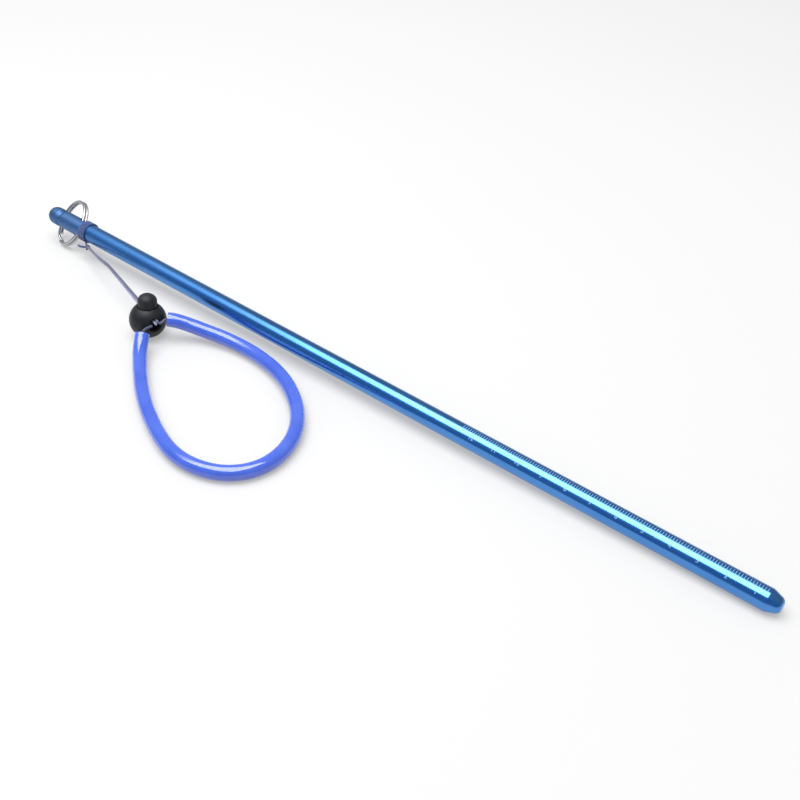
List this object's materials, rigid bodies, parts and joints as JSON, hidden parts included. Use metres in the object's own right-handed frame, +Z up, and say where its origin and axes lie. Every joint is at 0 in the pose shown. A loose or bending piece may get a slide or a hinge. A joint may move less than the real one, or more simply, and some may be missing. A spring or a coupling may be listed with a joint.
{
  "type": "diving pointer stick",
  "caption": "Slim metal diving pointer stick with a bullet tip, a split ring through its head and an adjustable tube wrist lanyard.",
  "frame": {"origin": "on the ground, under the middle of the bounding box of the rod and its ring", "axes": "+X along the rod towards the bullet tip, +Z up, the lanyard lies on the -Y side"},
  "size_m": [0.3622, 0.0856, 0.0193],
  "materials": {
    "blue_rod": "blue anodised, glossy, with a fine pale scale",
    "steel": "polished stainless wire",
    "cord": "braided slate blue cord, two strands twisted",
    "lock_plastic": "black moulded plastic",
    "soft_tube": "clear blue soft tube"
  },
  "bodies": {
    "stick": {"rod": "blue_rod", "cord_whipping": "cord", "tether_knot": "cord", "cord_tail": "cord", "tether_cord": "cord", "loop_cord": "cord", "wrist_tube": "soft_tube"},
    "ring": {"split_ring": "steel"},
    "lock": {"lock_body": "lock_plastic", "lock_spring": "steel"},
    "button": {"lock_button": "lock_plastic"}
  },
  "joints": [
    {"name": "ring_swing", "type": "hinge", "parent": "stick", "child": "ring", "pos_m": [-0.16046, -0.00242, 0.011], "axis": [-0.0154, -0.6691, -0.743], "range_deg": [0, 130]},
    {"name": "lock_slide", "type": "slide", "parent": "stick", "child": "lock", "axis": [-0.9548, 0.2974, 0], "range_m": [0, 0.036]},
    {"name": "button_press", "type": "slide", "parent": "lock", "child": "button", "axis": [-0.0337, -0.1081, -0.9936], "range_m": [0, 0.0025], "stiffness_N_per_m": 800, "springref_m": -0.002, "deforming": ["lock_spring"]}
  ]
}
